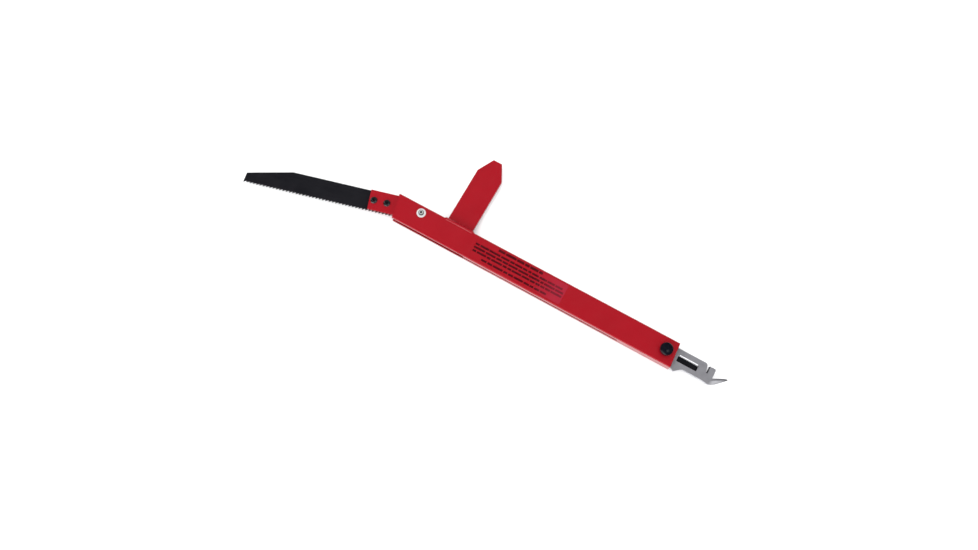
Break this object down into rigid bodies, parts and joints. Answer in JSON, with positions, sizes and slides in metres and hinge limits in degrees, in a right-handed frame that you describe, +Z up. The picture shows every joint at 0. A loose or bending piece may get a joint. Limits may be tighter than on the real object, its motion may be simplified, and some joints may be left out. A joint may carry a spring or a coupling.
{
  "type": "folding rescue saw with cutter and pry fin",
  "caption": "Hand tool for vehicle rescue: rectangular steel handle with a folding windscreen saw, a welded pointed pry fin and a clamped strap and sheet-metal cutter.",
  "frame": {"origin": "centre of the handle tube's underside, the flat face that the tool lies on", "axes": "+X along the handle towards the cutter, +Y across it towards the pry fin, +Z up out of the face with the knob"},
  "size_m": [0.7563, 0.2106, 0.0304],
  "materials": {
    "red_paint": "glossy red enamel over steel",
    "label": "thin clear film with dark print",
    "zinc_plate": "bright zinc plate",
    "nylon": "natural nylon",
    "bare_steel": "plain steel",
    "black_blade": "black coated blade steel",
    "black_oxide": "black oxide",
    "bronze": "sintered bronze",
    "ground_steel": "satin ground steel",
    "black_plastic": "polished black phenolic"
  },
  "bodies": {
    "handle": {"handle_tube": "red_paint", "pry_fin": "red_paint", "fin_weld": "red_paint", "label_film": "label", "pivot_sleeve": "zinc_plate", "pivot_screw": "zinc_plate", "pivot_washer": "zinc_plate", "spacer_lower": "nylon", "spacer_upper": "nylon", "guide_lower": "nylon", "guide_upper": "nylon", "clamp_nut": "zinc_plate"},
    "saw": {"cheek_lower": "red_paint", "cheek_upper": "red_paint", "arm_core": "bare_steel", "saw_blade": "black_blade", "blade_screws": "black_oxide", "arm_rivets": "bare_steel", "pivot_bush": "bronze"},
    "cutter": {"cutter_plate": "ground_steel", "strap_blade": "black_blade", "strap_blade_pins": "bare_steel"},
    "clamp_lift": {"clamp_washer": "black_oxide"},
    "clamp_screw": {"clamp_stud": "bare_steel", "clamp_knob": "black_plastic"}
  },
  "joints": [
    {"name": "saw_fold", "type": "hinge", "parent": "handle", "child": "saw", "pos_m": [-0.1856, 0.0076, 0.00953], "axis": [0, 0, 1], "range_deg": [0, 159]},
    {"name": "cutter_slide", "type": "slide", "parent": "handle", "child": "cutter", "axis": [1, 0, 0], "range_m": [0, 0.03]},
    {"name": "clamp_rise", "type": "slide", "parent": "handle", "child": "clamp_lift", "axis": [0, 0, 1], "range_m": [0, 0.00141]},
    {"name": "knob_turn", "type": "hinge", "parent": "clamp_lift", "child": "clamp_screw", "pos_m": [0.2148, 0.0006, 0.02025], "axis": [0, 0, 1], "range_deg": [0, 360]}
  ],
  "couplings": [
    {"joint": "knob_turn", "follows": "clamp_rise", "rad_per_m": 4456.1}
  ]
}
